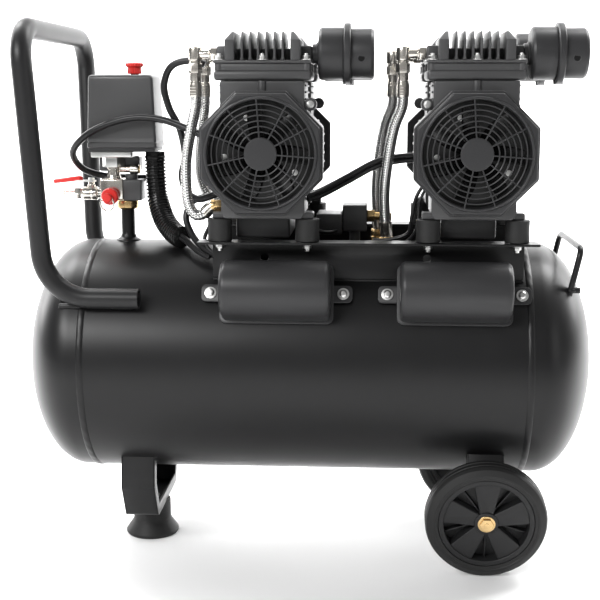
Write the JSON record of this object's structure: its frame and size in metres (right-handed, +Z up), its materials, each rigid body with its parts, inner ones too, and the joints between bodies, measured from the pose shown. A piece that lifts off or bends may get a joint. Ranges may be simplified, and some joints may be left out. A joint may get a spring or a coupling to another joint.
{
  "type": "air compressor",
  "caption": "Portable oil-free air compressor: two twin-cylinder pump heads on a horizontal tank with carry handle, rubber foot and wheels.",
  "frame": {"origin": "middle of the underside of the whole compressor, on the floor", "axes": "+X along the tank from the carry handle to the wheels, +Y to the rear, away from the side with the capacitor covers, +Z up"},
  "size_m": [0.736, 0.3492, 0.69],
  "materials": {
    "black_enamel": "smooth black enamel on rolled and pressed steel",
    "black_tube": "semi-gloss black powder coat on bent steel tube",
    "black_casting": "black-coated die-cast aluminium, slightly rough",
    "rotor_steel": "bare machined steel",
    "black_plastic": "moulded black plastic, satin",
    "fan_plastic": "moulded black plastic",
    "rim_plastic": "moulded black plastic",
    "tyre": "solid black rubber tyre",
    "rubber": "moulded black rubber",
    "cable_rubber": "black rubber sheath",
    "zinc": "zinc-plated steel",
    "brass": "brass and nickel-plated brass fittings",
    "red_plastic": "moulded red plastic",
    "steel_braid": "stainless braid with crimped ferrules"
  },
  "bodies": {
    "frame": {"ball_valve": "brass", "carry_handle": "black_tube", "conduit": "black_plastic", "end_handle": "black_enamel", "foot": "rubber", "front_axle_bolt": "zinc", "front_rail": "black_enamel", "front_wheel_bracket": "black_enamel", "left_capacitor_cover": "black_plastic", "left_front_filter": "black_plastic", "left_front_head": "black_casting", "left_front_hose": "steel_braid", "left_front_mount_a": "rubber", "left_front_mount_b": "rubber", "left_front_shroud": "black_plastic", "left_pump_body": "black_casting", "left_rear_filter": "black_plastic", "left_rear_head": "black_casting", "left_rear_hose": "steel_braid", "left_rear_mount_a": "rubber", "left_rear_mount_b": "rubber", "left_rear_shroud": "black_plastic", "leg": "black_enamel", "manifold": "brass", "rear_axle_bolt": "zinc", "rear_rail": "black_enamel", "rear_wheel_bracket": "black_enamel", "right_capacitor_cover": "black_plastic", "right_front_filter": "black_plastic", "right_front_head": "black_casting", "right_front_hose": "steel_braid", "right_front_mount_a": "rubber", "right_front_mount_b": "rubber", "right_front_shroud": "black_plastic", "right_pump_body": "black_casting", "right_rear_filter": "black_plastic", "right_rear_head": "black_casting", "right_rear_hose": "steel_braid", "right_rear_mount_a": "rubber", "right_rear_mount_b": "rubber", "right_rear_shroud": "black_plastic", "supply_cable": "cable_rubber", "switch_base": "zinc", "switch_cover": "black_plastic", "tank": "black_enamel", "vent_hose": "cable_rubber"},
    "front_wheel": {"front_tyre": "tyre", "front_wheel_rim": "rim_plastic"},
    "rear_wheel": {"rear_tyre": "tyre", "rear_wheel_rim": "rim_plastic"},
    "left_rotor_set": {"left_rotor": "rotor_steel", "left_front_fan": "fan_plastic", "left_rear_fan": "fan_plastic"},
    "right_rotor_set": {"right_rotor": "rotor_steel", "right_front_fan": "fan_plastic", "right_rear_fan": "fan_plastic"},
    "lever": {"valve_lever": "red_plastic"},
    "knob": {"switch_knob": "red_plastic"},
    "pull_ring": {"relief_ring": "red_plastic"},
    "drain_plug": {"drain_valve": "brass"}
  },
  "joints": [
    {"name": "front_wheel_spin", "type": "hinge", "parent": "frame", "child": "front_wheel", "pos_m": [0.228, -0.13175, 0.07632], "axis": [0, -0.9863, -0.165], "continuous": true},
    {"name": "rear_wheel_spin", "type": "hinge", "parent": "frame", "child": "rear_wheel", "pos_m": [0.228, 0.13425, 0.07632], "axis": [0, 0.9863, -0.165], "continuous": true},
    {"name": "left_motor_spin", "type": "hinge", "parent": "frame", "child": "left_rotor_set", "pos_m": [-0.051, 0.00125, 0.5296], "axis": [0, 1, 0], "continuous": true},
    {"name": "right_motor_spin", "type": "hinge", "parent": "frame", "child": "right_rotor_set", "pos_m": [0.205, 0.00125, 0.5296], "axis": [0, 1, 0], "continuous": true},
    {"name": "outlet_valve_turn", "type": "hinge", "parent": "frame", "child": "lever", "pos_m": [-0.2903, 0.00125, 0.486], "axis": [0, 0, 1], "range_deg": [0, 90]},
    {"name": "switch_pull", "type": "slide", "parent": "frame", "child": "knob", "axis": [0, 0, 1], "range_m": [0, 0.005]},
    {"name": "relief_pull", "type": "slide", "parent": "frame", "child": "pull_ring", "axis": [0, -1, 0], "range_m": [0, 0.003], "stiffness_N_per_m": 1500, "springref_m": -0.002},
    {"name": "drain_turn", "type": "hinge", "parent": "frame", "child": "drain_plug", "pos_m": [0, 0.00125, 0.09], "axis": [0, 0, 1], "range_deg": [0, 360]}
  ]
}
